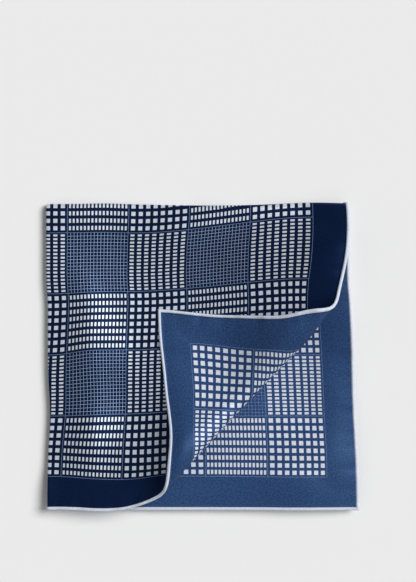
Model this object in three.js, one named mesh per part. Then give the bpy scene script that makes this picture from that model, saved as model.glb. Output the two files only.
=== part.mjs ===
// Folded pocket square: one silk square with a rolled hem, folded in quarters and laid flat.
// The top layer's free corner is turned back over a soft roll, so that its wrong side shows.
// Millimetres, +Z up. Seen from above, the two folds are at -X and +Y and the hems at +X and -Y.
// The origin is on the surface that the cloth lies on, under the middle of its outline.

import * as THREE from 'three';
import { mergeVertices } from 'three/addons/utils/BufferGeometryUtils.js';

// The cloth, before it is folded
const CLOTH_SIDE = 330;
const SHEET_THICKNESS = 1;
const HEM_DIAMETER = 2.1;
const SILK_COLOR = 0x1b2c4e;
const SILK_ROUGHNESS = 0.55;

// The folded square, in plan
const LEFT_FOLD_X = -83.3;
const FAR_FOLD_Y = 81.6;

// The distance from one of the four layers to the next, at the folds and between the thicker hems
const LAYERS = 4;
const PITCH_AT_FOLDS = 1.5;
const PITCH_AT_HEMS = 2.4;
const THICKENS_FROM = { x: 50, y: -52 };
const THICKENS_OVER = 23;

// The folds aren't quite on the cloth's middle lines: each runs this far towards the hems,
// more of it past the stretch named by from and over
const LEFT_FOLD_DRIFT = { start: 4.5, more: 4.2, from: 45, over: 95 };
const FAR_FOLD_DRIFT = { start: 0.8, more: 7.7, from: 50, over: 90 };

// Slack that the lower layers take up beside the folds, and that is taken up just inside the hems
const LEFT_FOLD_SLACK = { least: 5.4, more: 1.6, at: 115, reach: 30 };
const FAR_FOLD_SLACK = 1.2;
const SLACK_OVER = 80;
const HEM_SLACK = { side: 2, near: 1.2, over: 30 };

// The turned-back corner. The roll's axis runs from near left to far right, at ROLL_ANGLE to +X.
const ROLL_ANGLE = THREE.MathUtils.degToRad(44.3);
const ROLL_EDGE = { distance: 33.6, lean: 0.035, drawnIn: 3.2, from: 42, over: 30 };
const ROLL_HEIGHT = { middle: 9, nearHem: 15.3, farHem: 15.8, over: 45 };
const ROLL_OVERTURN = 0.6;
const ROLL_TURN_LENGTH = 2;
const ROLL_SETTLE_FROM = 1.7;
const ROLL_SETTLE_LENGTH = 4.5;
const ROLL_STEPS = 400;
const FLAP_REST = 2;
const FLAP_RUNS_LONG = { extra: 5.5, from: 35, over: 43 };

// The top layer swells up towards the roll over `run`, most of all near the two hems
const SWELL = { middle: 1, nearHem: 4, farHem: 4, over: 50, run: 30 };

// The top layer's two hems bow inwards beside the roll and on the turned-back corner. Each bow is
// `depth` deep at a distance along the hem, and fades over `zone` into the cloth.
const SIDE_HEM_BOWS = [
  { at: 18, reach: 16, depth: -1.3, zone: 40 },
  { at: 60, reach: 16, depth: 4.2, zone: 40 },
  { at: 95, reach: 25, depth: 2.3, zone: 40 },
  { at: 138, reach: 24, depth: 1.7, zone: 22 },
];
const NEAR_HEM_BOWS = [
  { at: 36, reach: 24, depth: 1.3, zone: 28 },
  { at: 68, reach: 17, depth: 5.3, zone: 28 },
  { at: 97, reach: 22, depth: 6.8, zone: 28 },
  { at: 130, reach: 16, depth: 0.7, zone: 22 },
];

// Soft pulls in the top layer and in the layer under it, each fading with distance and beside
// the folds
const TOP_PULLS = [
  { x: 2, y: 20, reach: 56, dx: -2.2, dy: 0 },
  { x: -30, y: -4, reach: 45, dx: 0, dy: 2.8 },
  { x: 25, y: -62, reach: 28, dx: 2.5, dy: 0 },
  { x: -38, y: -66, reach: 32, dx: 0, dy: -2.2 },
  { x: -64, y: -28, reach: 24, dx: 1.9, dy: 0 },
  { x: -68, y: 4, reach: 20, dx: 0, dy: 1 },
];
const UNDER_PULLS = [
  { x: 34, y: -30, reach: 40, dx: 1.8, dy: 0 },
];
const PULLS_FROM_FOLD = 25;

// Small waves of the two folds in plan, fading away from the fold
const LEFT_FOLD_WAVES = [{ at: -30, reach: 16, depth: 1.2 }];
const FAR_FOLD_WAVES = [
  { at: 5, reach: 35, depth: -0.8 },
  { at: 58, reach: 18, depth: 0.8 },
  { at: -52, reach: 12, depth: 0.4 },
];
const LEFT_FOLD_STEP = { at: 45, over: 20, depth: 1 };
const WAVE_FADE = 40;

// How finely the sheet is divided: cells along one side of the cloth, and where in a hem's width
const CELLS = { underHem: 6, under: 5, fold: 8, body: 5, roll: 22 };
const HEM_STEPS = [0, 0.15, 0.5, 0.85];
const UNDER_HEM_ZONE = 36;
const FOLD_HALF_WIDTH = 5;
const ROLL_STARTS = 62;
const DRIFT_ROUNDS = 5;
const SAME_POINT = 1e-4;

const HALF = CLOTH_SIDE / 2;
const HALF_SHEET = SHEET_THICKNESS / 2;
const HEM_RADIUS = HEM_DIAMETER / 2;

function ease(t) {
  return THREE.MathUtils.smoothstep(t, 0, 1);
}

function bump(t) {
  return Math.exp(-t * t);
}

function sumOf(rows, value) {
  return rows.reduce((total, row) => total + value(row), 0);
}

function drift(fold, along) {
  return fold.start + fold.more * ease((along - fold.from) / fold.over);
}

function waves(rows, along) {
  return sumOf(rows, (wave) => wave.depth * bump((along - wave.at) / wave.reach));
}

// 0 over most of the square, rising to 1 beside the hems, where the layers stand further apart
function nearHems(x, y) {
  const side = ease((x - THICKENS_FROM.x) / THICKENS_OVER);
  const near = ease((THICKENS_FROM.y - y) / THICKENS_OVER);
  return Math.max(side, near);
}

function pitch(x, y) {
  return THREE.MathUtils.lerp(PITCH_AT_FOLDS, PITCH_AT_HEMS, nearHems(x, y));
}

// Height of the lowest layer's middle surface
function lowestLayer(x, y) {
  return THREE.MathUtils.lerp(HALF_SHEET, HEM_RADIUS, nearHems(x, y));
}

function topLayer(x, y) {
  return lowestLayer(x, y) + (LAYERS - 1) * pitch(x, y);
}

// A line folded back on itself round a half circle: `distance` runs along it, 0 at the fold's
// outermost point, and is negative on the lower half. `out` is measured away from the fold.
function hairpin(distance, radius) {
  const quarter = (Math.PI * radius) / 2;
  if (Math.abs(distance) > quarter) {
    const up = Math.sign(distance);
    return { out: radius + Math.abs(distance) - quarter, up: up * radius, normalOut: 0, normalUp: up };
  }
  const turn = distance / radius;
  return {
    out: radius * (1 - Math.cos(turn)),
    up: radius * Math.sin(turn),
    normalOut: -Math.cos(turn),
    normalUp: Math.sin(turn),
  };
}

// The roll's section for a roll 1 high: it turns past upside down, then settles back to level.
// The slope angle is summed in small steps, and each row keeps the length run along the cloth.
function rollSection() {
  const length = Math.max(ROLL_TURN_LENGTH, ROLL_SETTLE_FROM + ROLL_SETTLE_LENGTH);
  const slope = (run) =>
    (Math.PI + ROLL_OVERTURN) * ease(run / ROLL_TURN_LENGTH) -
    ROLL_OVERTURN * ease((run - ROLL_SETTLE_FROM) / ROLL_SETTLE_LENGTH);
  const rows = [{ run: 0, out: 0, up: 0, slope: 0 }];
  const step = length / ROLL_STEPS;
  for (let i = 1; i <= ROLL_STEPS; i++) {
    const last = rows[i - 1];
    const middle = slope((i - 0.5) * step);
    rows.push({
      run: i * step,
      out: last.out + Math.cos(middle) * step,
      up: last.up + Math.sin(middle) * step,
      slope: slope(i * step),
    });
  }
  const endsHigh = rows[ROLL_STEPS].up;
  rows.forEach((row) => (row.up -= endsHigh * ease(row.run / length)));
  const height = Math.max(...rows.map((row) => row.up));
  return rows.map((row) => ({
    run: row.run / height,
    out: row.out / height,
    up: row.up / height,
    slope: row.slope,
  }));
}

const ROLL = rollSection();
const ROLL_END = ROLL[ROLL.length - 1];
const ROLL_REACH = Math.max(...ROLL.map((row) => row.out));

// The roll's section at `run`, level before it starts and after it has settled
function onRoll(run) {
  if (run <= 0) return { out: run, up: 0, slope: 0, settled: 0 };
  if (run >= ROLL_END.run) {
    return { out: ROLL_END.out - (run - ROLL_END.run), up: 0, slope: Math.PI, settled: 1 };
  }
  const place = (run / ROLL_END.run) * (ROLL.length - 1);
  const index = Math.floor(place);
  const part = place - index;
  const [a, b] = [ROLL[index], ROLL[index + 1]];
  return {
    out: THREE.MathUtils.lerp(a.out, b.out, part),
    up: THREE.MathUtils.lerp(a.up, b.up, part),
    slope: THREE.MathUtils.lerp(a.slope, b.slope, part),
    settled: ease(run / ROLL_END.run),
  };
}

function rollHeight(along) {
  const end = along < 0 ? ROLL_HEIGHT.nearHem : ROLL_HEIGHT.farHem;
  return THREE.MathUtils.lerp(ROLL_HEIGHT.middle, end, ease(Math.abs(along) / ROLL_HEIGHT.over));
}

function swellHeight(along) {
  const end = along < 0 ? SWELL.nearHem : SWELL.farHem;
  return THREE.MathUtils.lerp(SWELL.middle, end, ease(Math.abs(along) / SWELL.over));
}

function rollEdge(along) {
  const drawnIn = ROLL_EDGE.drawnIn * ease((along - ROLL_EDGE.from) / ROLL_EDGE.over);
  return ROLL_EDGE.distance - ROLL_EDGE.lean * along - drawnIn;
}

// Where a point of the top layer goes when its corner is turned back over the roll.
// `offset` is its height above the layer's middle surface. The turned-back corner lies on the swell.
function turnBack(point, offset) {
  const [axisX, axisY] = [Math.cos(ROLL_ANGLE), Math.sin(ROLL_ANGLE)];
  const across = point.x * axisY - point.y * axisX;
  const along = point.x * axisX + point.y * axisY;
  const extra = FLAP_RUNS_LONG.extra * ease((across - FLAP_RUNS_LONG.from) / FLAP_RUNS_LONG.over);
  const height = rollHeight(along);
  const start = rollEdge(along) - height * ROLL_REACH;
  const swell = swellHeight(along);
  const swollen = (place) => swell * ease((place - start) / SWELL.run + 1);
  const roll = onRoll((across + extra - start) / height);
  const turned = start + roll.out * height - offset * Math.sin(roll.slope);
  const x = axisY * turned + axisX * along;
  const y = -axisX * turned + axisY * along;
  const lies = point.z + swollen(turned) + topLayer(x, y) - topLayer(point.x, point.y);
  const rise = roll.up * (height - swell) + FLAP_REST * roll.settled;
  return { x, y, z: lies + rise - offset * (1 - Math.cos(roll.slope)) };
}

function pulled(x, y, rows, share) {
  const amount = (key) =>
    share * sumOf(rows, (pull) => pull[key] * bump(Math.hypot(x - pull.x, y - pull.y) / pull.reach));
  return [x + amount('dx'), y + amount('dy')];
}

// How far a hem bows inwards at a distance `along` it, for cloth that is `inside` the hem's edge
function hemBow(bows, along, inside) {
  return sumOf(bows, (bow) => bow.depth * bump((along - bow.at) / bow.reach) * ease(1 - inside / bow.zone));
}

// Distances in plan from the two folds, with the slack that the layers take up.
// They keep the sign of a and b: negative under the left fold, and under the far one.
function fromFolds(a, b) {
  const [driftX, driftY] = [drift(LEFT_FOLD_DRIFT, b), drift(FAR_FOLD_DRIFT, a)];
  const [u, v] = [a - driftX, b - driftY];
  const slack = LEFT_FOLD_SLACK;
  const leftSlack = slack.least + slack.more * bump((Math.abs(b) - slack.at) / slack.reach);
  const sideHem = HEM_SLACK.side * ease(1 - (HALF - Math.abs(a)) / HEM_SLACK.over);
  const nearHem = HEM_SLACK.near * ease(1 - (HALF - Math.abs(b)) / HEM_SLACK.over);
  const underLeft = leftSlack * ease(-u / SLACK_OVER) + sideHem;
  const underFar = (FAR_FOLD_SLACK + driftY) * ease(-v / SLACK_OVER) + nearHem;
  return {
    u: u < 0 ? u + underLeft : u,
    v: v < 0 ? v + underFar : v - nearHem,
  };
}

// Where the cloth's point (a, b) lies, with `offset` from its middle surface towards its face.
// a and b run from the cloth's middle towards the top layer's two hems.
function clothPoint(a, b, offset) {
  const { u, v } = fromFolds(a, b);
  const level = [LEFT_FOLD_X + Math.abs(u), FAR_FOLD_Y - Math.abs(v)];
  const gap = pitch(...level);
  const first = hairpin(u, gap / 2);
  const out = first.out + offset * first.normalOut;
  const aside = first.up + offset * first.normalUp;
  const second = hairpin(v, gap);
  const down = second.out + aside * second.normalOut;
  const middle = lowestLayer(...level) + ((LAYERS - 1) / 2) * gap;
  const z = middle + second.up + aside * second.normalUp;

  const farWave = waves(FAR_FOLD_WAVES, level[0]) * Math.exp(-Math.abs(v) / WAVE_FADE);
  let y = FAR_FOLD_Y + farWave - (down + gap / 2 + HALF_SHEET);
  const leftWave = waves(LEFT_FOLD_WAVES, y) * Math.exp(-Math.abs(u) / WAVE_FADE);
  const leftStep = LEFT_FOLD_STEP.depth * ease((LEFT_FOLD_STEP.at - y) / LEFT_FOLD_STEP.over);
  let x = LEFT_FOLD_X + leftStep + leftWave + out + HALF_SHEET;

  const clear = ease(Math.abs(u) / PULLS_FROM_FOLD) * ease(v / PULLS_FROM_FOLD);
  if (v <= 0) return { x, y, z };
  if (u <= 0) {
    [x, y] = pulled(x, y, UNDER_PULLS, clear);
    return { x, y, z };
  }
  x -= hemBow(SIDE_HEM_BOWS, b, HALF - a);
  y += hemBow(NEAR_HEM_BOWS, a, HALF - b);
  [x, y] = pulled(x, y, TOP_PULLS, clear);
  return turnBack({ x, y, z }, offset);
}

// Half the cloth's thickness: the sheet's own, or the rolled hem's round section at its edge
function halfThickness(a, b) {
  const inside = HALF - Math.max(Math.abs(a), Math.abs(b));
  const round = HEM_RADIUS ** 2 - (inside - HEM_RADIUS) ** 2;
  if (inside >= HEM_DIAMETER) return HALF_SHEET;
  const hem = Math.sqrt(Math.max(round, 0));
  return inside > HEM_RADIUS ? Math.max(hem, HALF_SHEET) : hem;
}

function stretch(from, to, cells) {
  return Array.from({ length: cells }, (_, i) => from + ((to - from) * i) / cells);
}

// Places along one side of the folded cloth: 0 at the fold, -1 at the under layers' hem and 1 at
// the top layer's
function places() {
  const hem = HEM_DIAMETER / HALF;
  const underHem = UNDER_HEM_ZONE / HALF;
  const fold = FOLD_HALF_WIDTH / HALF;
  const roll = ROLL_STARTS / HALF;
  return [
    ...HEM_STEPS.map((step) => step * hem - 1),
    ...stretch(hem - 1, underHem - 1, CELLS.underHem),
    ...stretch(underHem - 1, -fold, CELLS.under),
    ...stretch(-fold, fold, CELLS.fold),
    ...stretch(fold, roll, CELLS.body),
    ...stretch(roll, 1 - hem, CELLS.roll),
    1 - hem,
    ...HEM_STEPS.map((step) => 1 - step * hem).reverse(),
  ];
}

// The cloth's point for a place across and a place down. The two folds' drifts depend on each
// other, so they are settled in a few rounds.
function clothPlace(across, down) {
  const fromFold = (place, fold) => fold + place * (HALF - Math.sign(place) * fold);
  let [a, b] = [across * HALF, down * HALF];
  for (let round = 0; round < DRIFT_ROUNDS; round++) {
    a = fromFold(across, drift(LEFT_FOLD_DRIFT, b));
    b = fromFold(down, drift(FAR_FOLD_DRIFT, a));
  }
  return [a, b];
}

// Two triangles of a cell of the grid. At the two corners where the usual diagonal would cut off
// a triangle with no thickness, the other diagonal is used.
function cellTriangles(corner, width, atCorner) {
  const [right, below, across] = [corner + 1, corner + width, corner + width + 1];
  return atCorner
    ? [corner, below, across, corner, across, right]
    : [corner, below, right, right, below, across];
}

// One closed surface: the face and the wrong side share their points along the cloth's edge.
function silkSquare() {
  const line = places();
  const width = line.length;
  const positions = [];
  for (const side of [1, -1]) {
    for (const down of line) {
      for (const across of line) {
        const [a, b] = clothPlace(across, down);
        const point = clothPoint(a, b, side * halfThickness(a, b));
        positions.push(point.x, point.y, Math.max(point.z, 0));
      }
    }
  }
  const indices = [];
  const lastCell = width - 2;
  for (let row = 0; row <= lastCell; row++) {
    for (let column = 0; column <= lastCell; column++) {
      const atCorner = row === column && (row === 0 || row === lastCell);
      const face = cellTriangles(row * width + column, width, atCorner);
      const wrongSide = face.map((index) => index + width * width).reverse();
      indices.push(...face, ...wrongSide);
    }
  }
  const sheet = new THREE.BufferGeometry();
  sheet.setAttribute('position', new THREE.Float32BufferAttribute(positions, 3));
  sheet.setIndex(indices);
  const closed = mergeVertices(sheet, SAME_POINT);
  closed.computeBoundingBox();
  const middle = closed.boundingBox.getCenter(new THREE.Vector3());
  closed.translate(-middle.x, -middle.y, 0);
  closed.computeVertexNormals();
  return closed;
}

const pocketSquare = new THREE.Mesh(
  silkSquare(),
  new THREE.MeshStandardMaterial({ color: SILK_COLOR, roughness: SILK_ROUGHNESS, metalness: 0 }),
);
pocketSquare.name = 'pocket_square';

const part = new THREE.Group();
part.add(pocketSquare);

export default part;
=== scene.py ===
"""Folded pocket square: printed silk twill with a rolled hem, folded in quarters and laid flat.

The top layer's free corner is turned back over a soft roll, so that its wrong side shows.
Millimetres are used up to the point where a mesh is made; the scene is in metres.
"""

import math
from types import SimpleNamespace

import bpy
import numpy as np
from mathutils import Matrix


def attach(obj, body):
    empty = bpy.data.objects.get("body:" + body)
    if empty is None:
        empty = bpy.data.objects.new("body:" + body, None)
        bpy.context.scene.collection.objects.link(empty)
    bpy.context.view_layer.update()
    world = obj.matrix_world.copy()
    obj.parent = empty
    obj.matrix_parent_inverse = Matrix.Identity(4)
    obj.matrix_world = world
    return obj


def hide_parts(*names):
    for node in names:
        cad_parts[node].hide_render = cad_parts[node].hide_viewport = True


bl_info = {
    "name": "Folded pocket square",
    "version": (1, 0, 0),
    "blender": (4, 5, 0),
    "location": "3D View > Sidebar > Pocket square",
    "description": "Builds a folded silk pocket square with a turned-back corner, and its stage",
    "category": "Object",
}

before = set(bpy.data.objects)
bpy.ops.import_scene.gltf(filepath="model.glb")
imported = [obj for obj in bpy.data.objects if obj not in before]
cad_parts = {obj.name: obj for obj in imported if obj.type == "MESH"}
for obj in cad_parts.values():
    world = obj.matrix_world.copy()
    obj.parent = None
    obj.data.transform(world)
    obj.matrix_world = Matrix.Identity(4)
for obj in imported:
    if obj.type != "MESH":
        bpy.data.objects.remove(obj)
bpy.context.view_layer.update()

MM = 0.001

# The folded square in plan, in millimetres, as in the solid
LEFT_FOLD_X = -83.3
FAR_FOLD_Y = 81.6
LAYERS = 4
# The layers lie further apart from here on, towards the hems at +x and -y
THICKENS_FROM_X = 50
THICKENS_FROM_Y = -52
THICKENS_OVER = 23
# Neither fold is quite on the cloth's middle line: it runs towards the hems, most of all far along
LEFT_FOLD_DRIFT = {"start": 4.5, "more": 4.2, "from": 45, "over": 95}
FAR_FOLD_DRIFT = {"start": 0.8, "more": 7.7, "from": 50, "over": 90}
# Slack that the lower layers take up beside the folds, and that is taken up just inside the hems
LEFT_FOLD_SLACK = {"least": 5.4, "more": 1.6, "at": 115, "reach": 30}
FAR_FOLD_SLACK = 1.2
SLACK_OVER = 80
HEM_SLACK = {"side": 2, "near": 1.2, "over": 30}

# The roll of the turned-back corner: its axis, its outer edge, and the way over which it rises
ROLL_ANGLE = math.radians(44.3)
ROLL_EDGE = {"distance": 33.6, "lean": 0.035, "drawn_in": 3.2, "from": 42, "over": 30}
ROLL_HEIGHT_OVER = 45
# Its section, before it is scaled to the roll's height: radians past a half turn, and lengths
ROLL_OVERTURN = 0.6
ROLL_TURN_LENGTH = 2
ROLL_SETTLE_FROM = 1.7
ROLL_SETTLE_LENGTH = 4.5
ROLL_STEPS = 600
# From here on across the roll, the corner reaches a little further than its place on the cloth
FLAP_RUNS_LONG = {"extra": 5.5, "from": 35, "over": 43}
# The top layer swells up towards the roll, most of all near the two hems
SWELL = {"middle": 1, "near_hem": 4, "far_hem": 4, "over": 50, "run": 30}

# How the top layer's two hems bow inwards: depth at a distance along the hem, fading over zone
SIDE_HEM_BOWS = (
    {"at": 18, "reach": 16, "depth": -1.3, "zone": 40},
    {"at": 60, "reach": 16, "depth": 4.2, "zone": 40},
    {"at": 95, "reach": 25, "depth": 2.3, "zone": 40},
    {"at": 138, "reach": 24, "depth": 1.7, "zone": 22},
)
NEAR_HEM_BOWS = (
    {"at": 36, "reach": 24, "depth": 1.3, "zone": 28},
    {"at": 68, "reach": 17, "depth": 5.3, "zone": 28},
    {"at": 97, "reach": 22, "depth": 6.8, "zone": 28},
    {"at": 130, "reach": 16, "depth": 0.7, "zone": 22},
)

# Soft pulls in the top layer and the one under it, in plan
TOP_PULLS = (
    {"x": 2, "y": 20, "reach": 56, "dx": -2.2, "dy": 0},
    {"x": -30, "y": -4, "reach": 45, "dx": 0, "dy": 2.8},
    {"x": 25, "y": -62, "reach": 28, "dx": 2.5, "dy": 0},
    {"x": -38, "y": -66, "reach": 32, "dx": 0, "dy": -2.2},
    {"x": -64, "y": -28, "reach": 24, "dx": 1.9, "dy": 0},
    {"x": -68, "y": 4, "reach": 20, "dx": 0, "dy": 1},
)
UNDER_PULLS = ({"x": 34, "y": -30, "reach": 40, "dx": 1.8, "dy": 0},)
# Low swells of the same two layers, in plan
TOP_SWELLS = (
    {"x": -67, "y": 11, "reach": 23, "height": 4.8},
    {"x": -67, "y": -43, "reach": 23, "height": 5},
    {"x": 60, "y": 54, "reach": 44, "height": 8.5},
    {"x": -12, "y": -52, "reach": 26, "height": 6.5},
    {"x": -12, "y": -14, "reach": 22, "height": 3},
)
UNDER_SWELLS = (
    {"x": 54, "y": -58, "reach": 24, "height": 5},
    {"x": 84, "y": 12, "reach": 15, "height": 3.5},
)
# Pulls and swells fade out this near to a fold
CLEAR_OF_FOLD = 25
# The layers lie closer together along a dale between the left fold and the middle
DALE = {"x": -34, "reach": 26, "closer": 0.5}

# Waves of the two folds in plan, fading away from the fold, and a step in the left one
LEFT_FOLD_WAVES = ({"at": -30, "reach": 16, "depth": 1.2},)
FAR_FOLD_WAVES = (
    {"at": 5, "reach": 35, "depth": -0.8},
    {"at": 58, "reach": 18, "depth": 0.8},
    {"at": -52, "reach": 12, "depth": 0.4},
)
WAVE_FADE = 40
LEFT_FOLD_STEP = {"at": 45, "over": 20, "depth": 1}

# Soft waves of the silk's surface: length and height in millimetres, direction in degrees
SILK_WAVES = (
    {"length": 61, "direction": 18, "height": 0.3, "phase": 0.4},
    {"length": 43, "direction": 104, "height": 0.2, "phase": 2.1},
    {"length": 29, "direction": 62, "height": 0.1, "phase": 4.4},
    {"length": 19, "direction": 151, "height": 0.05, "phase": 1.2},
)

# Small puckers that the hand-rolled hem draws into the cloth beside it
HEM_PUCKERS = (
    {"length": 9.7, "height": 0.12, "phase": 0.9},
    {"length": 6.1, "height": 0.08, "phase": 3.0},
    {"length": 14.3, "height": 0.18, "phase": 5.1},
)
PUCKER_REACH = 8
# The waves die out this near to a fold or a hem, and the puckers this near to a fold
CALM_ZONE = 12
# The hem dips at each stitch, by a share of its height
STITCH_SPACING = 4.6
STITCH_DEPTH = 0.12
STITCH_SHARPNESS = 4

# How finely the mesh is divided: cells along one side of the cloth
HEM_CELLS = 10
UNDER_HEM_CELLS = 8
UNDER_CELLS = 14
FOLD_CELLS = 18
TOP_CELLS = 155
UNDER_HEM_ZONE = 30
FOLD_HALF_WIDTH = 5
DRIFT_ROUNDS = 6
# The share of its half of the baked picture that each side of the cloth fills
BAKE_SHARE = 0.98

# The print, in millimetres: four and a half blocks from the cloth's middle to the plain border
BLOCK_SIDE = 32.5
FIELD_EDGE = 4.5 * BLOCK_SIDE
WIDE_SHAPES = {"count": 8, "margin": 2.44, "width": 2.2}
NARROW_SHAPES = {"count": 16, "margin": 1.4, "width": 1.03}
FINE_CELLS = 18
FINE_WIDTH = 0.15
LINE_WIDTH = 0.22
# What is laid over the border's colour in turn: a part of the print, and its colour
PRINT_LAYERS = {"Field": "ground", "Fine": "fine", "Line": "lines", "Shapes": "shapes"}
PRINT_COLOURS = ("border", *PRINT_LAYERS.values())

# The silk's looks. Softness and spread are of the print's edges, and pitch and depth of the ribs,
# all in millimetres. Grain is about the number of slubs to the millimetre. Ribs, slubs and relief
# are shares. Silk isn't a metal, but a metallic share lets its shine take the dye's colour, as
# the lustre of the thread does.
FACE_LOOKS = {
    "softness": 0.06,
    "spread": 0,
    "ribs": 0.04,
    "slubs": 0.9,
    "pitch": 0.9,
    "depth": 0.08,
    "grain": 1.1,
    "relief": 0.3,
    "shine": {
        "Metallic": 0.55,
        "Roughness": 0.42,
        "Specular IOR Level": 0.2,
        "Specular Tint": "89B3FF",
    },
}
WRONG_LOOKS = {
    "softness": 0.14,
    "spread": 0.14,
    "ribs": 0.05,
    "slubs": 2,
    "pitch": 0.9,
    "depth": 0.08,
    "grain": 1.1,
    "relief": 0.35,
    "shine": {
        "Metallic": 0.14,
        "Roughness": 0.55,
        "Specular IOR Level": 0.3,
        "Specular Tint": "BCE1FF",
    },
}
HEM_LOOKS = {
    "brightness": 0.98,
    "slubs": 0.4,
    "pitch": 0.9,
    "depth": 0.15,
    "grain": 0.8,
    "relief": 0.35,
    "shine": {"Roughness": 0.6, "Specular IOR Level": 0.25, "Sheen Weight": 0.1},
}
# Slubs show less on the white shapes, by this share, and ribs count half as much in the relief
SLUBS_HIDDEN = 0.75
RIBS_IN_RELIEF = 0.5
GRAIN_DETAIL = 2
# The Mix node's sockets: the share, then the first and the second number or colour
MIX_NUMBERS = (0, 2, 3)
MIX_COLOURS = (0, 6, 7)
MIXED_NUMBER = 0
MIXED_COLOUR = 2

# The stage: a wide floor, an even world, two soft lights and a camera that looks straight down
FLOOR_HALF = 20
WORLD_COLOUR = "FFFFFF"
WORLD_STRENGTH = 0.22
LIGHTS = (
    {"name": "key", "elevation": 48, "azimuth": 114, "spread": 32, "strength": 3.1},
    {"name": "fill", "elevation": 55, "azimuth": -60, "spread": 70, "strength": 0.2},
)
CAMERA_LENS = 100
CAMERA_PLACE = (0.00296, 0.03457, 0.865)


def ease(t):
    """A smooth step: 0 below 0, 1 above 1, and 3t squared less 2t cubed between."""
    t = np.clip(t, 0, 1)
    return t * t * (3 - 2 * t)


def bump(t):
    """A soft bump: e to the power of minus t squared."""
    return np.exp(-t * t)


def mix(a, b, part):
    """a plus part times the way from a to b."""
    return a + (b - a) * part


def drift(fold, along):
    """How far a fold lies from the cloth's middle line: a start plus an eased step along it."""
    return fold["start"] + fold["more"] * ease((along - fold["from"]) / fold["over"])


def fold_waves(rows, along):
    """The sum of soft bumps, each of a depth and a reach, at places along a fold."""
    return sum(row["depth"] * bump((along - row["at"]) / row["reach"]) for row in rows)


def hem_bow(rows, along, inside):
    """Bumps along a hem, each fading with the distance inside it."""
    return sum(
        row["depth"] * bump((along - row["at"]) / row["reach"]) * ease(1 - inside / row["zone"])
        for row in rows
    )


def swells(x, y, rows):
    """The sum of round bumps, each of a height and a reach, at places in plan."""
    return sum(
        row["height"] * bump(np.hypot(x - row["x"], y - row["y"]) / row["reach"]) for row in rows
    )


def pulled(x, y, rows, share):
    """x and y moved by each pull, times a bump of the distance from its middle and the share."""
    parts = [bump(np.hypot(x - row["x"], y - row["y"]) / row["reach"]) * share for row in rows]
    dx = sum(row["dx"] * part for row, part in zip(rows, parts))
    dy = sum(row["dy"] * part for row, part in zip(rows, parts))
    return x + dx, y + dy


def sine_waves(rows, ways):
    """The sum of heights times the sines of ways, each in turns of its length, plus its phase."""
    return sum(
        row["height"] * np.sin(2 * math.pi * way / row["length"] + row["phase"])
        for row, way in zip(rows, ways)
    )


def hairpin(distance, radius):
    """A line folded back on itself round a half circle of the radius.

    Within a quarter turn of the fold: out is radius times one less the turn's cosine, and up is
    radius times its sine. Further on the line is straight and level. Returns out, up and the
    normal's parts along out and up.
    """
    quarter = math.pi / 2
    turn = np.clip(distance / radius, -quarter, quarter)
    past = np.maximum(np.abs(distance) - quarter * radius, 0)
    out = radius * (1 - np.cos(turn)) + past
    return out, radius * np.sin(turn), -np.cos(turn), np.sin(turn)


def roll_section():
    """The roll's section for a roll 1 high.

    The slope angle rises to a half turn and a little more, then eases back to a half turn. Its
    cosine and sine are summed along the run. The height is brought level at the end, and all is
    divided by the greatest height. Returns run, out, up and slope.
    """
    length = max(ROLL_TURN_LENGTH, ROLL_SETTLE_FROM + ROLL_SETTLE_LENGTH)
    step = length / ROLL_STEPS

    def slope(run):
        turned = (math.pi + ROLL_OVERTURN) * ease(run / ROLL_TURN_LENGTH)
        return turned - ROLL_OVERTURN * ease((run - ROLL_SETTLE_FROM) / ROLL_SETTLE_LENGTH)

    run = np.arange(ROLL_STEPS + 1) * step
    middle = slope(run[1:] - step / 2)
    out = np.concatenate([[0], np.cumsum(np.cos(middle) * step)])
    up = np.concatenate([[0], np.cumsum(np.sin(middle) * step)])
    up -= up[-1] * ease(run / length)
    high = up.max()
    return run / high, out / high, up / high, slope(run)


ROLL_RUN, ROLL_OUT, ROLL_UP, ROLL_SLOPE = roll_section()


def near_hems(x, y):
    """0 over most of the square and 1 beside its two open sides: the greater of two eased steps."""
    side = ease((x - THICKENS_FROM_X) / THICKENS_OVER)
    return np.maximum(side, ease((THICKENS_FROM_Y - y) / THICKENS_OVER))


def layer_pitch(x, y, cloth):
    """From layer to layer: the folds' pitch, less a bump along the dale, mixed with the hems'."""
    dale = 1 - DALE["closer"] * bump((x - DALE["x"]) / DALE["reach"])
    return mix(cloth.pitch_at_folds * dale, cloth.pitch_at_hems, near_hems(x, y))


def lowest_layer(x, y, cloth):
    """Height of the lowest layer's middle: half the silk's thickness, mixed with half the hem's."""
    return mix(cloth.thickness / 2, cloth.hem_diameter / 2, near_hems(x, y))


def top_layer(x, y, cloth):
    """Height of the top layer before it is turned back: the lowest one, the pitches and swells."""
    stack = (LAYERS - 1) * layer_pitch(x, y, cloth)
    return lowest_layer(x, y, cloth) + stack + swells(x, y, TOP_SWELLS)


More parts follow.
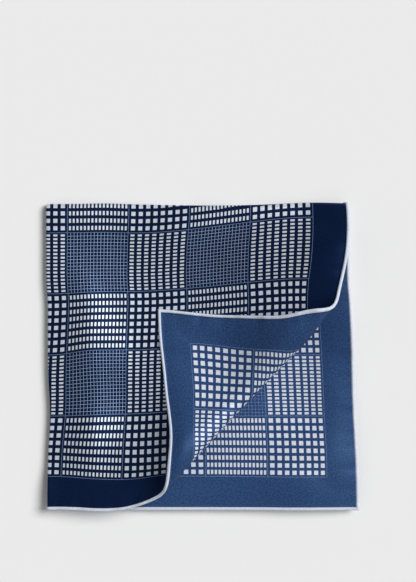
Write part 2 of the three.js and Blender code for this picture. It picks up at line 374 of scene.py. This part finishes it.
def turn_back(x, y, z, offset, cloth):
    """The top layer's points after its corner is turned back over the roll.

    Each point has a distance across the roll's axis and one along it. Past the roll's start the
    distance across is read off the roll's section, times the roll's height there. The layer
    swells up to the roll by an eased step across, and the corner lies down on the swell.
    """
    axis_x, axis_y = math.cos(ROLL_ANGLE), math.sin(ROLL_ANGLE)
    across = x * axis_y - y * axis_x
    along = x * axis_x + y * axis_y
    long = FLAP_RUNS_LONG
    across = across + long["extra"] * ease((across - long["from"]) / long["over"])

    roll_end = np.where(along < 0, cloth.roll_near_hem, cloth.roll_far_hem)
    height = mix(cloth.roll_middle, roll_end, ease(np.abs(along) / ROLL_HEIGHT_OVER))
    drawn_in = ROLL_EDGE["drawn_in"] * ease((along - ROLL_EDGE["from"]) / ROLL_EDGE["over"])
    edge = ROLL_EDGE["distance"] - ROLL_EDGE["lean"] * along - drawn_in
    start = edge - height * ROLL_OUT.max()
    swell_end = np.where(along < 0, SWELL["near_hem"], SWELL["far_hem"])
    swell = mix(SWELL["middle"], swell_end, ease(np.abs(along) / SWELL["over"]))

    run = (across - start) / height
    past = np.maximum(run - ROLL_RUN[-1], 0)
    out = np.where(run < 0, run, np.interp(run, ROLL_RUN, ROLL_OUT) - past)
    up = np.interp(run, ROLL_RUN, ROLL_UP)
    slope = np.interp(run, ROLL_RUN, ROLL_SLOPE)
    settled = ease(run / ROLL_RUN[-1])

    turned = start + out * height - offset * np.sin(slope)
    swollen = swell * ease((turned - start) / SWELL["run"] + 1)
    new_x = axis_y * turned + axis_x * along
    new_y = -axis_x * turned + axis_y * along
    rise = up * (height - swell) + cloth.flap_rest * settled - offset * (1 - np.cos(slope))
    new_z = z + rise + swollen + top_layer(new_x, new_y, cloth) - top_layer(x, y, cloth)
    return new_x, new_y, new_z


def from_hem(a, b, cloth):
    """How far a place lies inside its nearest hem, and where it is along that hem.

    Inside is half the side less the greater of a's and b's sizes, and along is the other one.
    """
    inside = cloth.side / 2 - np.maximum(np.abs(a), np.abs(b))
    return inside, np.where(np.abs(a) > np.abs(b), b, a)


def from_folds(a, b, cloth):
    """Distances from the left fold and the far fold, less than 0 in the lower layers.

    Each is the place on the cloth less the fold's own, and the lower layers are drawn towards
    the fold by their slack, which grows by an eased step away from it and again at the hem.
    """
    half = cloth.side / 2
    drift_x, drift_y = drift(LEFT_FOLD_DRIFT, b), drift(FAR_FOLD_DRIFT, a)
    u, v = a - drift_x, b - drift_y
    slack = LEFT_FOLD_SLACK
    left_slack = slack["least"] + slack["more"] * bump((np.abs(b) - slack["at"]) / slack["reach"])
    side_hem = HEM_SLACK["side"] * ease(1 - (half - np.abs(a)) / HEM_SLACK["over"])
    near_hem = HEM_SLACK["near"] * ease(1 - (half - np.abs(b)) / HEM_SLACK["over"])
    under_left = left_slack * ease(-u / SLACK_OVER) + side_hem
    under_far = (FAR_FOLD_SLACK + drift_y) * ease(-v / SLACK_OVER) + near_hem
    return np.where(u < 0, u + under_left, u), np.where(v < 0, v + under_far, v - near_hem)


def folded_in_quarters(u, v, offset, cloth):
    """Points of the four layers, lying evenly on each other.

    The first fold is a hairpin in u, at the left; the second folds the two layers so made in a
    hairpin twice as wide in v, at the far side. Each fold is moved in plan by its own waves.
    """
    sheet = cloth.thickness / 2
    flat_x, flat_y = LEFT_FOLD_X + np.abs(u), FAR_FOLD_Y - np.abs(v)
    pitch = layer_pitch(flat_x, flat_y, cloth)
    out, up, normal_out, normal_up = hairpin(u, pitch / 2)
    out = out + offset * normal_out
    aside = up + offset * normal_up
    down, rise, normal_down, normal_rise = hairpin(v, pitch)
    down = down + aside * normal_down
    middle = lowest_layer(flat_x, flat_y, cloth) + (LAYERS - 1) / 2 * pitch

    far_wave = fold_waves(FAR_FOLD_WAVES, flat_x) * np.exp(-np.abs(v) / WAVE_FADE)
    y = FAR_FOLD_Y + far_wave - (down + pitch / 2 + sheet)
    left_wave = fold_waves(LEFT_FOLD_WAVES, y) * np.exp(-np.abs(u) / WAVE_FADE)
    step = LEFT_FOLD_STEP
    left_step = step["depth"] * ease((step["at"] - y) / step["over"])
    return LEFT_FOLD_X + left_step + left_wave + out + sheet, y, middle + rise + aside * normal_rise


def cloth_points(a, b, offset, cloth):
    """Where the cloth's points lie, offset from its middle surface towards its face.

    a and b run from the cloth's middle towards the top layer's two hems. The cloth is folded in
    quarters, the two upper ones are pulled and swell, the top one is turned back over the roll,
    and small waves and puckers are added to the height of both.
    """
    half = cloth.side / 2
    u, v = from_folds(a, b, cloth)
    x, y, z = folded_in_quarters(u, v, offset, cloth)

    clear = ease(np.abs(u) / CLEAR_OF_FOLD) * ease(v / CLEAR_OF_FOLD)
    under_x, under_y = pulled(x, y, UNDER_PULLS, clear)
    under_z = z + swells(under_x, under_y, UNDER_SWELLS) * clear
    top_x = x - hem_bow(SIDE_HEM_BOWS, b, half - a)
    top_y = y + hem_bow(NEAR_HEM_BOWS, a, half - b)
    top_x, top_y = pulled(top_x, top_y, TOP_PULLS, clear)
    top_z = z + swells(top_x, top_y, TOP_SWELLS) * clear
    top_x, top_y, top_z = turn_back(top_x, top_y, top_z, offset, cloth)

    inside, along = from_hem(a, b, cloth)
    angles = [math.radians(row["direction"]) for row in SILK_WAVES]
    waves = sine_waves(SILK_WAVES, [a * math.cos(way) + b * math.sin(way) for way in angles])
    puckers = sine_waves(HEM_PUCKERS, [along] * len(HEM_PUCKERS)) * bump(inside / PUCKER_REACH)
    calm = ease(np.minimum(np.abs(u), np.abs(v)) / CALM_ZONE)
    uneven = (waves * ease(inside / CALM_ZONE) + puckers) * calm

    quarters = [(u > 0) & (v > 0), (u <= 0) & (v > 0)]
    x = np.select(quarters, [top_x, under_x], x)
    y = np.select(quarters, [top_y, under_y], y)
    return x, y, np.select(quarters, [top_z + uneven, under_z + uneven], z)


def half_thickness(a, b, cloth):
    """Half the cloth's thickness: the sheet's own, or the rolled hem's round section at its edge.

    The hem's half height is the root of its radius squared less the square of the distance from
    its middle. It dips a little at every stitch.
    """
    radius = cloth.hem_diameter / 2
    inside, along = from_hem(a, b, cloth)
    hem = np.sqrt(np.maximum(radius**2 - (inside - radius) ** 2, 0))
    stitch = np.maximum(np.cos(2 * math.pi * along / STITCH_SPACING), 0) ** STITCH_SHARPNESS
    hem = hem * (1 - STITCH_DEPTH * stitch)
    return np.where(inside > radius, np.maximum(hem, cloth.thickness / 2), hem)


def cloth_lines(cloth):
    """Places along one side of the cloth: 0 at the fold, -1 and 1 at the hems.

    They lie evenly in each zone, and round a hem they follow one less the cosine of a half turn.
    """
    half = cloth.side / 2
    hem, under = cloth.hem_diameter / half, UNDER_HEM_ZONE / half
    fold = FOLD_HALF_WIDTH / half
    bead = hem * (1 - np.cos(np.linspace(0, math.pi, HEM_CELLS + 1))) / 2
    parts = (
        -1 + bead[:-1],
        np.linspace(hem - 1, under - 1, UNDER_HEM_CELLS, endpoint=False),
        np.linspace(under - 1, -fold, UNDER_CELLS, endpoint=False),
        np.linspace(-fold, fold, FOLD_CELLS, endpoint=False),
        np.linspace(fold, 1 - hem, TOP_CELLS, endpoint=False),
        1 - bead[::-1],
    )
    return np.concatenate(parts)


def cloth_places(across, down, cloth):
    """Cloth points for places counted from the two folds, settled in a few rounds.

    Each is its fold's place, plus a share of the way from there to the hem.
    """
    half = cloth.side / 2
    a, b = across * half, down * half
    for _ in range(DRIFT_ROUNDS):
        fold_a, fold_b = drift(LEFT_FOLD_DRIFT, b), drift(FAR_FOLD_DRIFT, a)
        a = fold_a + across * (half - np.sign(across) * fold_a)
        b = fold_b + down * (half - np.sign(down) * fold_b)
    return a, b


def quads(grid):
    """The four corner numbers of every cell of a grid of point numbers."""
    cells = np.stack([grid[:-1, :-1], grid[1:, :-1], grid[1:, 1:], grid[:-1, 1:]], axis=-1)
    return cells.reshape(-1, 4)


def closed_sheet(cloth):
    """The sheet as a grid for its face and one for its wrong side, joined along the cloth's edge.

    Returns its points, its faces, the flat cloth's places at their corners, and the faces'
    material numbers: 0 for the face, 1 for the wrong side and 2 for the hem.
    """
    line = cloth_lines(cloth)
    count = len(line)
    a, b = cloth_places(*np.meshgrid(line, line), cloth)
    thick = half_thickness(a, b, cloth)
    face, wrong = (np.stack(cloth_points(a, b, way * thick, cloth), axis=-1) for way in (1, -1))
    points = np.concatenate([face.reshape(-1, 3), wrong[1:-1, 1:-1].reshape(-1, 3)])
    points[:, 2] = np.maximum(points[:, 2], 0)

    face_numbers = np.arange(count**2).reshape(count, count)
    wrong_numbers = face_numbers.copy()
    inner = np.arange((count - 2) ** 2).reshape(count - 2, count - 2)
    wrong_numbers[1:-1, 1:-1] = count**2 + inner
    face_cells = quads(face_numbers)
    faces = np.concatenate([face_cells, quads(wrong_numbers)[:, ::-1]])
    flat = np.stack([a, b], axis=-1).reshape(-1, 2)
    places = np.concatenate([flat[face_cells], flat[face_cells[:, ::-1]]])

    cell = np.arange(count - 1)
    at_hem = (cell < HEM_CELLS) | (cell >= count - 1 - HEM_CELLS)
    hem = (at_hem[:, None] | at_hem[None, :]).ravel()
    return points, faces, places, np.concatenate([np.where(hem, 2, 0), np.where(hem, 2, 1)])


def sheet_mesh(name, cloth):
    """The closed sheet as a mesh in metres, centred over the origin, with its two UV maps.

    Cloth holds the place on the flat cloth, from 0 to 1 each way, and reads the same on both
    sides. The second map puts the face in one half and the wrong side in the other.
    """
    points, faces, places, materials = closed_sheet(cloth)
    middle = (points.min(axis=0) + points.max(axis=0)) / 2
    points[:, :2] -= middle[:2]
    mesh = bpy.data.meshes.new(name)
    mesh.vertices.add(len(points))
    mesh.vertices.foreach_set("co", (points * MM).ravel())
    mesh.loops.add(faces.size)
    mesh.loops.foreach_set("vertex_index", faces.ravel())
    mesh.polygons.add(len(faces))
    mesh.polygons.foreach_set("loop_start", np.arange(0, faces.size, 4))
    mesh.polygons.foreach_set("material_index", materials)
    mesh.polygons.foreach_set("use_smooth", np.ones(len(faces), dtype=bool))
    flat = places.reshape(-1, 2) / cloth.side + 0.5
    mesh.uv_layers.new(name="Cloth").data.foreach_set("uv", flat.ravel())
    scale = np.array([BAKE_SHARE / 2, BAKE_SHARE])
    halves = flat * scale + (np.array([0.5, 1]) - scale) / 2
    halves[len(flat) // 2 :, 0] += 0.5
    mesh.uv_layers.new(name="OFBake").data.foreach_set("uv", halves.ravel())
    mesh.update(calc_edges=True)
    mesh.validate()
    return mesh


def linear(code):
    """Linear red, green and blue of an sRGB colour written as six hex digits."""
    parts = [int(code[i : i + 2], 16) / 255 for i in (0, 2, 4)]
    return tuple(c / 12.92 if c <= 0.04045 else ((c + 0.055) / 1.055) ** 2.4 for c in parts)


def length_property(name, description, default):
    """A length in metres, shown in the scene's units."""
    return bpy.props.FloatProperty(
        name=name, description=description, default=default, min=0, unit="LENGTH", precision=5
    )


def colour_property(name, description, code):
    """A colour, given as six hex digits."""
    return bpy.props.FloatVectorProperty(
        name=name, description=description, default=linear(code), min=0, max=1, subtype="COLOR"
    )


class PocketSquareCloth(bpy.types.PropertyGroup):
    """Sizes of the cloth and its folds"""

    side: length_property("Side", "Side of the cloth before it is folded", 0.33)
    thickness: length_property("Thickness", "Thickness of the silk", 0.0003)
    hem_diameter: length_property("Hem", "Diameter of the rolled hem", 0.0017)
    pitch_at_folds: length_property("Layers at folds", "From layer to layer at a fold", 0.0014)
    pitch_at_hems: length_property("Layers at hems", "From layer to layer at the hems", 0.0022)
    roll_middle: length_property("Roll middle", "Height of the roll in its middle", 0.009)
    roll_near_hem: length_property("Roll near", "Height of the roll at the near hem", 0.0153)
    roll_far_hem: length_property("Roll far", "Height of the roll at the side hem", 0.0158)
    flap_rest: length_property("Flap rest", "Height at which the turned-back corner lies", 0.0013)


class PocketSquareColours(bpy.types.PropertyGroup):
    """Colours of the print, its wrong side, the hem and the stage"""

    face_ground: colour_property("Ground", "Navy between the print's shapes", "0E1D3B")
    face_border: colour_property("Border", "Plain navy border", "102040")
    face_shapes: colour_property("Shapes", "Off-white squares and bars", "D8E0EC")
    face_lines: colour_property("Lines", "Thin lines between the blocks", "7890BA")
    face_fine: colour_property("Fine lines", "Fine grid in the dark blocks", "B6CCF2")
    wrong_ground: colour_property("Wrong ground", "Ground seen from the wrong side", "243E6C")
    wrong_border: colour_property("Wrong border", "Border seen from the wrong side", "28426C")
    wrong_shapes: colour_property("Wrong shapes", "Shapes seen from the wrong side", "D2D7E2")
    wrong_lines: colour_property("Wrong lines", "Thin lines on the wrong side", "7088AC")
    wrong_fine: colour_property("Wrong fine lines", "Fine grid on the wrong side", "7088AC")
    hem: colour_property("Hem", "Off-white silk of the rolled hem", "CED5E4")
    floor: colour_property("Floor", "Plain pale floor", "EAEAEA")


def in_mm(settings):
    """The lengths of a property group in millimetres, each under its own name."""
    return SimpleNamespace(**{key: getattr(settings, key) / MM for key in settings.__annotations__})


def add_node(tree, kind, inputs=(), **settings):
    """Adds a node with its settings and links, and returns its outputs.

    inputs are in the node's own order, or under the names or numbers of its sockets. Each is a
    value, or another node's output, which is linked.
    """
    node = tree.nodes.new("ShaderNode" + kind)
    for key, value in settings.items():
        setattr(node, key, value)
    pairs = inputs.items() if isinstance(inputs, dict) else enumerate(inputs)
    for key, value in pairs:
        if isinstance(value, bpy.types.NodeSocket):
            tree.links.new(value, node.inputs[key])
        else:
            node.inputs[key].default_value = value
    return node.outputs


def new_group(name, inputs, outputs):
    """An empty node group with float sockets, and the sockets that it starts from and ends in."""
    group = bpy.data.node_groups.new(name, "ShaderNodeTree")
    for in_out, names in (("INPUT", inputs), ("OUTPUT", outputs)):
        for key in names:
            group.interface.new_socket(key, in_out=in_out, socket_type="NodeSocketFloat")
    start, end = group.nodes.new("NodeGroupInput"), group.nodes.new("NodeGroupOutput")
    return group, start.outputs, end.inputs


def print_along_group():
    """What the print does along one side of the cloth.

    The blocks alternate, one with wide shapes and the next with narrow ones, and have a thin
    line between them. Wide says in which the place is. Each of the others is a distance inside
    its own edges, made into a smooth step that is 0 below minus the softness and 1 above it. In
    a row at whole pitches from the first, that distance is half a width less the distance from
    the middle of the nearest one.
    """
    names = ("Shapes", "Wide", "Fine", "Line", "Field")
    group, start, end = new_group("Print along a side", ("Along", "Softness", "Spread"), names)
    far = add_node(group, "Math", [start["Along"]], operation="ABSOLUTE")[0]
    shifted = add_node(group, "Math", [far, BLOCK_SIDE / 2], operation="ADD")[0]
    blocks = add_node(group, "Math", [shifted, BLOCK_SIDE], operation="DIVIDE")[0]
    block = add_node(group, "Math", [blocks], operation="FLOOR")[0]
    place = add_node(group, "Math", [block, -BLOCK_SIDE, shifted], operation="MULTIPLY_ADD")[0]
    odd = add_node(group, "Math", [block, 2], operation="MODULO")[0]
    wide = add_node(group, "Math", [1, odd], operation="SUBTRACT")[0]

    def inside_nearest(first, pitch, last, half_width):
        steps = add_node(
            group, "Math", [place, 1 / pitch, -first / pitch], operation="MULTIPLY_ADD"
        )[0]
        whole = add_node(group, "Math", [steps], operation="ROUND")[0]
        nearest = add_node(group, "Clamp", [whole, 0, last])[0]
        past = add_node(group, "Math", [steps, nearest], operation="SUBTRACT")[0]
        off = add_node(group, "Math", [past], operation="ABSOLUTE")[0]
        return add_node(group, "Math", [off, -pitch, half_width], operation="MULTIPLY_ADD")[0]

    def inside_shapes(shapes):
        pitch = (BLOCK_SIDE - 2 * shapes["margin"]) / (shapes["count"] - 1)
        half_width = add_node(
            group, "Math", [start["Spread"], 0.5, shapes["width"] / 2], operation="MULTIPLY_ADD"
        )[0]
        return inside_nearest(shapes["margin"], pitch, shapes["count"] - 1, half_width)

    reach = FIELD_EDGE + LINE_WIDTH / 2
    insides = {
        "Wide shapes": inside_shapes(WIDE_SHAPES),
        "Narrow shapes": inside_shapes(NARROW_SHAPES),
        "Fine": inside_nearest(0, BLOCK_SIDE / FINE_CELLS, FINE_CELLS, FINE_WIDTH / 2),
        "Line": inside_nearest(0, BLOCK_SIDE, 1, LINE_WIDTH / 2),
        "Field": add_node(group, "Math", [reach, far], operation="SUBTRACT")[0],
    }
    low = add_node(group, "Math", [start["Softness"], -1], operation="MULTIPLY")[0]
    bands = {"Wide": wide}
    for key, inside in insides.items():
        ends = {"Value": inside, "From Min": low, "From Max": start["Softness"]}
        bands[key] = add_node(group, "MapRange", ends, interpolation_type="SMOOTHSTEP")["Result"]
    either = dict(zip(MIX_NUMBERS, (wide, bands["Narrow shapes"], bands["Wide shapes"])))
    bands["Shapes"] = add_node(group, "Mix", either, data_type="FLOAT")[MIXED_NUMBER]
    for key in names:
        group.links.new(bands[key], end[key])
    return group


def print_group(along_group):
    """The whole print from places across and down the cloth, in millimetres from its middle.

    A shape is where both ways have one, and a line or the fine grid is where either way has it.
    Shapes show where either way's block has wide ones, and the fine grid where neither has. All
    of them end at the field's edge.
    """
    names = ("Shapes", "Fine", "Line", "Field")
    group, start, end = new_group("Checked print", ("Across", "Down", "Softness", "Spread"), names)
    edges = {key: start[key] for key in ("Softness", "Spread")}
    ways = [
        add_node(group, "Group", {"Along": start[key], **edges}, node_tree=along_group)
        for key in ("Across", "Down")
    ]
    joins = {
        "Field": "MULTIPLY",
        "Shapes": "MULTIPLY",
        "Wide": "MAXIMUM",
        "Fine": "MAXIMUM",
        "Line": "MAXIMUM",
    }
    both = {
        key: add_node(group, "Math", [way[key] for way in ways], operation=join)[0]
        for key, join in joins.items()
    }
    neither_wide = add_node(group, "Math", [1, both["Wide"]], operation="SUBTRACT")[0]
    for key, where in (("Shapes", both["Wide"]), ("Fine", neither_wide)):
        both[key] = add_node(group, "Math", [both[key], where], operation="MULTIPLY")[0]
    for key in ("Shapes", "Fine", "Line"):
        both[key] = add_node(group, "Math", [both[key], both["Field"]], operation="MULTIPLY")[0]
    for key in names:
        group.links.new(both[key], end[key])
    return group


def new_material(name):
    """A material with nodes, its tree and its Principled shader."""
    material = bpy.data.materials.new(name)
    material.use_nodes = True
    return material, material.node_tree, material.node_tree.nodes["Principled BSDF"]


def silk_threads(tree, cloth, looks):
    """Places across and down the cloth in millimetres, its ribs, its slubs and its relief.

    The twill's ribs are a sine along the diagonal, in turns of their pitch. Slubs are threads a
    little thicker or thinner than the rest: a noise less a half. The relief is the noise plus a
    share of the ribs.
    """
    uv = add_node(tree, "UVMap", uv_map="Cloth")[0]
    from_middle = add_node(tree, "VectorMath", [uv, (0.5, 0.5, 0)], operation="SUBTRACT")[0]
    place = add_node(
        tree, "VectorMath", {0: from_middle, "Scale": cloth.side}, operation="SCALE"
    )[0]
    across, down, _ = add_node(tree, "SeparateXYZ", [place])
    diagonal = add_node(tree, "Math", [across, down], operation="ADD")[0]
    angle = add_node(
        tree, "Math", [diagonal, 2 * math.pi / looks["pitch"]], operation="MULTIPLY"
    )[0]
    ribs = add_node(tree, "Math", [angle], operation="SINE")[0]
    grain = {"Vector": place, "Scale": looks["grain"], "Detail": GRAIN_DETAIL}
    noise = add_node(tree, "TexNoise", grain)["Fac"]
    slubs = add_node(tree, "Math", [noise, 0.5], operation="SUBTRACT")[0]
    height = add_node(tree, "Math", [ribs, RIBS_IN_RELIEF, noise], operation="MULTIPLY_ADD")[0]
    relief = {"Height": height, "Strength": looks["relief"], "Distance": looks["depth"] * MM}
    return across, down, ribs, slubs, add_node(tree, "Bump", relief)[0]


def dye(tree, shader, colour, brightness, relief, looks):
    """Gives the shader the colour times the brightness, the relief, and the silk's shine."""
    dyed = add_node(tree, "VectorMath", {0: colour, "Scale": brightness}, operation="SCALE")[0]
    tree.links.new(dyed, shader.inputs["Base Color"])
    tree.links.new(relief, shader.inputs["Normal"])
    for key, value in looks["shine"].items():
        shader.inputs[key].default_value = (*linear(value), 1) if isinstance(value, str) else value


def silk_material(name, cloth, print_nodes, colours, looks):
    """Printed silk twill. The print's colours are laid over the border's in turn.

    The brightness is 1, plus the ribs times their share, plus the slubs times theirs, which is
    smaller on the white shapes.
    """
    material, tree, shader = new_material(name)
    across, down, ribs, slubs, relief = silk_threads(tree, cloth, looks)
    edges = {"Softness": looks["softness"], "Spread": looks["spread"]}
    places = {"Across": across, "Down": down, **edges}
    pattern = add_node(tree, "Group", places, node_tree=print_nodes)
    colour = colours["border"]
    for part, key in PRINT_LAYERS.items():
        layers = dict(zip(MIX_COLOURS, (pattern[part], colour, colours[key])))
        colour = add_node(tree, "Mix", layers, data_type="RGBA")[MIXED_COLOUR]
    less_on_shapes = [pattern["Shapes"], -SLUBS_HIDDEN * looks["slubs"], looks["slubs"]]
    share = add_node(tree, "Math", less_on_shapes, operation="MULTIPLY_ADD")[0]
    uneven = add_node(tree, "Math", [slubs, share, 1], operation="MULTIPLY_ADD")[0]
    brightness = add_node(
        tree, "Math", [ribs, looks["ribs"], uneven], operation="MULTIPLY_ADD"
    )[0]
    dye(tree, shader, colour, brightness, relief, looks)
    return material


def hem_material(name, cloth, colour, looks):
    """Rolled silk hem: one colour, whose brightness varies with the slubs."""
    material, tree, shader = new_material(name)
    *_, slubs, relief = silk_threads(tree, cloth, looks)
    brightness = add_node(
        tree, "Math", [slubs, looks["slubs"], looks["brightness"]], operation="MULTIPLY_ADD"
    )[0]
    dye(tree, shader, colour, brightness, relief, looks)
    return material


class OBJECT_OT_pocket_square(bpy.types.Operator):
    """Builds the folded cloth with its print and its rolled hem"""

    bl_idname = "object.pocket_square"
    bl_label = "Folded cloth"

    def execute(self, context):
        cloth = in_mm(context.scene.pocket_square_cloth)
        tone = context.scene.pocket_square_colours
        piece = bpy.data.objects.new("silk_square", sheet_mesh("silk_square", cloth))
        context.scene.collection.objects.link(piece)
        print_nodes = print_group(print_along_group())
        materials = piece.data.materials
        face, wrong = (
            {key: (*getattr(tone, f"{way}_{key}"), 1) for key in PRINT_COLOURS}
            for way in ("face", "wrong")
        )
        # Silk twill, printed side: deep colour, softly shiny, the shine the colour of the dye.
        # Its ribs are drawn about twice as coarse as real, so that they show at all.
        materials.append(
            silk_material("Printed silk twill face", cloth, print_nodes, face, FACE_LOOKS)
        )
        # The same silk from behind: the dye shows paler and duller, and the shapes' edges softer
        materials.append(
            silk_material("Printed silk twill wrong side", cloth, print_nodes, wrong, WRONG_LOOKS)
        )
        # Silk rolled by hand round its own edge: off-white, matt, with slanting ribs round the roll
        materials.append(hem_material("Rolled silk hem", cloth, tone.hem, HEM_LOOKS))
        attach(piece, "root")
        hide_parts("pocket_square")
        return {"FINISHED"}


class OBJECT_OT_pocket_square_stage(bpy.types.Operator):
    """Builds the floor, the lights and the camera"""

    bl_idname = "object.pocket_square_stage"
    bl_label = "Stage"

    def execute(self, context):
        scene = context.scene
        tone = scene.pocket_square_colours
        mesh = bpy.data.meshes.new("floor")
        half = FLOOR_HALF
        corners = [(-half, -half, 0), (half, -half, 0), (half, half, 0), (-half, half, 0)]
        mesh.from_pydata(corners, [], [(0, 1, 2, 3)])
        floor = bpy.data.objects.new("floor", mesh)
        scene.collection.objects.link(floor)
        # Matt white paper, so that it takes soft shadows and shows no reflections
        material, _, shader = new_material("Matt white paper")
        shader.inputs["Base Color"].default_value = (*tone.floor, 1)
        shader.inputs["Roughness"].default_value = 1
        shader.inputs["Specular IOR Level"].default_value = 0
        mesh.materials.append(material)

        world = bpy.data.worlds.new("Pale studio")
        world.use_nodes = True
        back = world.node_tree.nodes["Background"]
        back.inputs["Color"].default_value = (*linear(WORLD_COLOUR), 1)
        back.inputs["Strength"].default_value = WORLD_STRENGTH
        scene.world = world

        for light in LIGHTS:
            data = bpy.data.lights.new(light["name"], "SUN")
            data.energy = light["strength"]
            data.angle = math.radians(light["spread"])
            made = bpy.data.objects.new(light["name"], data)
            tilt, turn = math.radians(90 - light["elevation"]), math.radians(light["azimuth"])
            made.rotation_euler = (tilt, 0, turn)
            scene.collection.objects.link(made)

        data = bpy.data.cameras.new("camera")
        data.lens = CAMERA_LENS
        camera = bpy.data.objects.new("camera", data)
        camera.location = CAMERA_PLACE
        scene.collection.objects.link(camera)
        scene.camera = camera
        scene.view_settings.view_transform = "Standard"
        return {"FINISHED"}


class VIEW3D_PT_pocket_square(bpy.types.Panel):
    """Lists what the pocket square and its stage are made from"""

    bl_idname = "VIEW3D_PT_pocket_square"
    bl_label = "Folded pocket square"
    bl_space_type = "VIEW_3D"
    bl_region_type = "UI"
    bl_category = "Pocket square"

    def draw(self, context):
        scene = context.scene
        for settings in (scene.pocket_square_cloth, scene.pocket_square_colours):
            column = self.layout.column()
            for key in settings.__annotations__:
                column.prop(settings, key)
        for operator in OPERATORS:
            self.layout.operator(operator.bl_idname)


OPERATORS = (OBJECT_OT_pocket_square, OBJECT_OT_pocket_square_stage)
CLASSES = (PocketSquareCloth, PocketSquareColours, *OPERATORS, VIEW3D_PT_pocket_square)


def register():
    """Registers the classes and gives every scene the two groups of settings."""
    for cls in CLASSES:
        bpy.utils.register_class(cls)
    bpy.types.Scene.pocket_square_cloth = bpy.props.PointerProperty(type=PocketSquareCloth)
    bpy.types.Scene.pocket_square_colours = bpy.props.PointerProperty(type=PocketSquareColours)


def unregister():
    """Takes the settings and the classes away again."""
    del bpy.types.Scene.pocket_square_colours
    del bpy.types.Scene.pocket_square_cloth
    for cls in reversed(CLASSES):
        bpy.utils.unregister_class(cls)


def main():
    """Builds everything."""
    register()
    bpy.ops.object.pocket_square()
    bpy.ops.object.pocket_square_stage()


if __name__ == "__main__":
    main()
